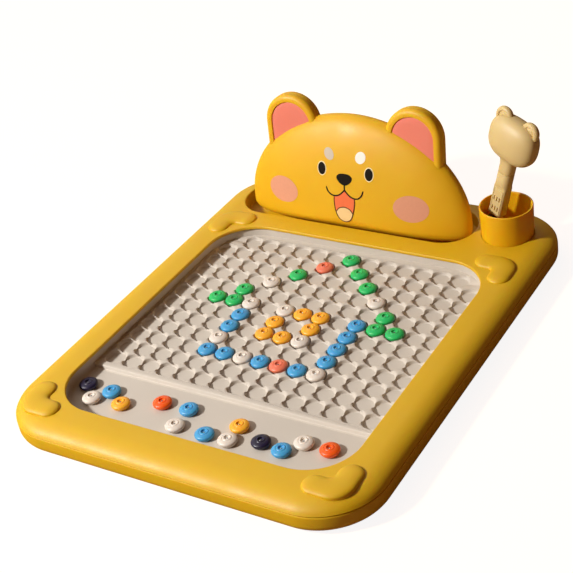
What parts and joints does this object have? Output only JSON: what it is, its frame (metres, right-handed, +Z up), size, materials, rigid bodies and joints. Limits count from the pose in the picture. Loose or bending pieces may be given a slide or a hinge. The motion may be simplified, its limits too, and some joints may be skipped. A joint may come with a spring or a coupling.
{
  "type": "magnetic bead drawing board",
  "caption": "Toy bead drawing board: round-cornered case with a pitted plate, lift-out beads, loose bead tray, lift-out animal head, and a magnetic pen in a cup.",
  "frame": {"origin": "middle of the board's footprint, on the table under the feet", "axes": "+X to the child's right, +Y away from the child towards the head, +Z up"},
  "size_m": [0.257, 0.324, 0.1132],
  "materials": {
    "yellow_plastic": "moulded ABS, satin, warm yellow",
    "cream_plastic": "moulded ABS, fine matt, cream",
    "pen_plastic": "moulded ABS, satin, pale cream-yellow",
    "pink_plastic": "moulded ABS, matt, salmon pink",
    "dark_rubber": "moulded rubber, dark grey",
    "magnet_sheet": "flexible magnetic sheet, dark brown-grey",
    "magnet_metal": "plated magnet, dull dark metal",
    "screw_steel": "zinc-plated steel",
    "bead_green": "moulded ABS, semi-gloss, green",
    "bead_coral": "moulded ABS, semi-gloss, coral",
    "bead_white": "moulded ABS, semi-gloss, warm white",
    "bead_blue": "moulded ABS, semi-gloss, blue",
    "bead_orange": "moulded ABS, semi-gloss, orange"
  },
  "bodies": {
    "board": {"lower_case": "yellow_plastic", "top_frame": "yellow_plastic", "bead_plate": "cream_plastic", "magnet_sheet": "magnet_sheet", "case_screw_1": "screw_steel", "case_screw_2": "screw_steel", "case_screw_3": "screw_steel", "case_screw_4": "screw_steel", "rubber_foot_1": "dark_rubber", "rubber_foot_2": "dark_rubber", "rubber_foot_3": "dark_rubber", "rubber_foot_4": "dark_rubber", "corner_pad_front_left": "yellow_plastic", "corner_pad_front_right": "yellow_plastic", "corner_pad_rear_left": "yellow_plastic", "corner_pad_rear_right": "yellow_plastic"},
    "head": {"head_front_shell": "yellow_plastic", "head_rear_shell": "yellow_plastic", "ear_insert_left": "pink_plastic", "ear_insert_right": "pink_plastic"},
    "cup": {"pen_cup": "yellow_plastic"},
    "pen": {"pen_handle": "pen_plastic", "pen_head": "pen_plastic", "pen_magnet": "magnet_metal"},
    "bead_green_1": {"bead_green_1": "bead_green"},
    "bead_green_2": {"bead_green_2": "bead_green"},
    "bead_green_3": {"bead_green_3": "bead_green"},
    "bead_green_4": {"bead_green_4": "bead_green"},
    "bead_green_5": {"bead_green_5": "bead_green"},
    "bead_green_6": {"bead_green_6": "bead_green"},
    "bead_green_7": {"bead_green_7": "bead_green"},
    "bead_green_8": {"bead_green_8": "bead_green"},
    "bead_green_9": {"bead_green_9": "bead_green"},
    "bead_green_10": {"bead_green_10": "bead_green"},
    "bead_coral_1": {"bead_coral_1": "bead_coral"},
    "bead_coral_2": {"bead_coral_2": "bead_coral"},
    "bead_white_1": {"bead_white_1": "bead_white"},
    "bead_white_2": {"bead_white_2": "bead_white"},
    "bead_white_3": {"bead_white_3": "bead_white"},
    "bead_white_4": {"bead_white_4": "bead_white"},
    "bead_white_5": {"bead_white_5": "bead_white"},
    "bead_white_6": {"bead_white_6": "bead_white"},
    "bead_white_7": {"bead_white_7": "bead_white"},
    "bead_white_8": {"bead_white_8": "bead_white"},
    "bead_blue_1": {"bead_blue_1": "bead_blue"},
    "bead_blue_2": {"bead_blue_2": "bead_blue"},
    "bead_blue_3": {"bead_blue_3": "bead_blue"},
    "bead_blue_4": {"bead_blue_4": "bead_blue"},
    "bead_blue_5": {"bead_blue_5": "bead_blue"},
    "bead_blue_6": {"bead_blue_6": "bead_blue"},
    "bead_blue_7": {"bead_blue_7": "bead_blue"},
    "bead_blue_8": {"bead_blue_8": "bead_blue"},
    "bead_blue_9": {"bead_blue_9": "bead_blue"},
    "bead_blue_10": {"bead_blue_10": "bead_blue"},
    "bead_orange_1": {"bead_orange_1": "bead_orange"},
    "bead_orange_2": {"bead_orange_2": "bead_orange"},
    "bead_orange_3": {"bead_orange_3": "bead_orange"},
    "bead_orange_4": {"bead_orange_4": "bead_orange"},
    "bead_orange_5": {"bead_orange_5": "bead_orange"},
    "bead_orange_6": {"bead_orange_6": "bead_orange"}
  },
  "joints": [
    {"name": "head_lifts_out", "type": "slide", "parent": "board", "child": "head", "axis": [0, 0.1045, 0.9945], "range_m": [0, 0.025]},
    {"name": "cup_lifts_out", "type": "slide", "parent": "board", "child": "cup", "axis": [0, 0, 1], "range_m": [0, 0.015]},
    {"name": "pen_draws_out", "type": "slide", "parent": "cup", "child": "pen", "axis": [0.2622, 0, 0.965], "range_m": [0, 0.04]},
    {"name": "bead_green_1_lifts", "type": "slide", "parent": "board", "child": "bead_green_1", "axis": [0, 0, 1], "range_m": [0, 0.012]},
    {"name": "bead_green_2_lifts", "type": "slide", "parent": "board", "child": "bead_green_2", "axis": [0, 0, 1], "range_m": [0, 0.012]},
    {"name": "bead_green_3_lifts", "type": "slide", "parent": "board", "child": "bead_green_3", "axis": [0, 0, 1], "range_m": [0, 0.012]},
    {"name": "bead_green_4_lifts", "type": "slide", "parent": "board", "child": "bead_green_4", "axis": [0, 0, 1], "range_m": [0, 0.012]},
    {"name": "bead_green_5_lifts", "type": "slide", "parent": "board", "child": "bead_green_5", "axis": [0, 0, 1], "range_m": [0, 0.012]},
    {"name": "bead_green_6_lifts", "type": "slide", "parent": "board", "child": "bead_green_6", "axis": [0, 0, 1], "range_m": [0, 0.012]},
    {"name": "bead_green_7_lifts", "type": "slide", "parent": "board", "child": "bead_green_7", "axis": [0, 0, 1], "range_m": [0, 0.012]},
    {"name": "bead_green_8_lifts", "type": "slide", "parent": "board", "child": "bead_green_8", "axis": [0, 0, 1], "range_m": [0, 0.012]},
    {"name": "bead_green_9_lifts", "type": "slide", "parent": "board", "child": "bead_green_9", "axis": [0, 0, 1], "range_m": [0, 0.012]},
    {"name": "bead_green_10_lifts", "type": "slide", "parent": "board", "child": "bead_green_10", "axis": [0, 0, 1], "range_m": [0, 0.012]},
    {"name": "bead_coral_1_lifts", "type": "slide", "parent": "board", "child": "bead_coral_1", "axis": [0, 0, 1], "range_m": [0, 0.012]},
    {"name": "bead_coral_2_lifts", "type": "slide", "parent": "board", "child": "bead_coral_2", "axis": [0, 0, 1], "range_m": [0, 0.012]},
    {"name": "bead_white_1_lifts", "type": "slide", "parent": "board", "child": "bead_white_1", "axis": [0, 0, 1], "range_m": [0, 0.012]},
    {"name": "bead_white_2_lifts", "type": "slide", "parent": "board", "child": "bead_white_2", "axis": [0, 0, 1], "range_m": [0, 0.012]},
    {"name": "bead_white_3_lifts", "type": "slide", "parent": "board", "child": "bead_white_3", "axis": [0, 0, 1], "range_m": [0, 0.012]},
    {"name": "bead_white_4_lifts", "type": "slide", "parent": "board", "child": "bead_white_4", "axis": [0, 0, 1], "range_m": [0, 0.012]},
    {"name": "bead_white_5_lifts", "type": "slide", "parent": "board", "child": "bead_white_5", "axis": [0, 0, 1], "range_m": [0, 0.012]},
    {"name": "bead_white_6_lifts", "type": "slide", "parent": "board", "child": "bead_white_6", "axis": [0, 0, 1], "range_m": [0, 0.012]},
    {"name": "bead_white_7_lifts", "type": "slide", "parent": "board", "child": "bead_white_7", "axis": [0, 0, 1], "range_m": [0, 0.012]},
    {"name": "bead_white_8_lifts", "type": "slide", "parent": "board", "child": "bead_white_8", "axis": [0, 0, 1], "range_m": [0, 0.012]},
    {"name": "bead_blue_1_lifts", "type": "slide", "parent": "board", "child": "bead_blue_1", "axis": [0, 0, 1], "range_m": [0, 0.012]},
    {"name": "bead_blue_2_lifts", "type": "slide", "parent": "board", "child": "bead_blue_2", "axis": [0, 0, 1], "range_m": [0, 0.012]},
    {"name": "bead_blue_3_lifts", "type": "slide", "parent": "board", "child": "bead_blue_3", "axis": [0, 0, 1], "range_m": [0, 0.012]},
    {"name": "bead_blue_4_lifts", "type": "slide", "parent": "board", "child": "bead_blue_4", "axis": [0, 0, 1], "range_m": [0, 0.012]},
    {"name": "bead_blue_5_lifts", "type": "slide", "parent": "board", "child": "bead_blue_5", "axis": [0, 0, 1], "range_m": [0, 0.012]},
    {"name": "bead_blue_6_lifts", "type": "slide", "parent": "board", "child": "bead_blue_6", "axis": [0, 0, 1], "range_m": [0, 0.012]},
    {"name": "bead_blue_7_lifts", "type": "slide", "parent": "board", "child": "bead_blue_7", "axis": [0, 0, 1], "range_m": [0, 0.012]},
    {"name": "bead_blue_8_lifts", "type": "slide", "parent": "board", "child": "bead_blue_8", "axis": [0, 0, 1], "range_m": [0, 0.012]},
    {"name": "bead_blue_9_lifts", "type": "slide", "parent": "board", "child": "bead_blue_9", "axis": [0, 0, 1], "range_m": [0, 0.012]},
    {"name": "bead_blue_10_lifts", "type": "slide", "parent": "board", "child": "bead_blue_10", "axis": [0, 0, 1], "range_m": [0, 0.012]},
    {"name": "bead_orange_1_lifts", "type": "slide", "parent": "board", "child": "bead_orange_1", "axis": [0, 0, 1], "range_m": [0, 0.012]},
    {"name": "bead_orange_2_lifts", "type": "slide", "parent": "board", "child": "bead_orange_2", "axis": [0, 0, 1], "range_m": [0, 0.012]},
    {"name": "bead_orange_3_lifts", "type": "slide", "parent": "board", "child": "bead_orange_3", "axis": [0, 0, 1], "range_m": [0, 0.012]},
    {"name": "bead_orange_4_lifts", "type": "slide", "parent": "board", "child": "bead_orange_4", "axis": [0, 0, 1], "range_m": [0, 0.012]},
    {"name": "bead_orange_5_lifts", "type": "slide", "parent": "board", "child": "bead_orange_5", "axis": [0, 0, 1], "range_m": [0, 0.012]},
    {"name": "bead_orange_6_lifts", "type": "slide", "parent": "board", "child": "bead_orange_6", "axis": [0, 0, 1], "range_m": [0, 0.012]}
  ]
}
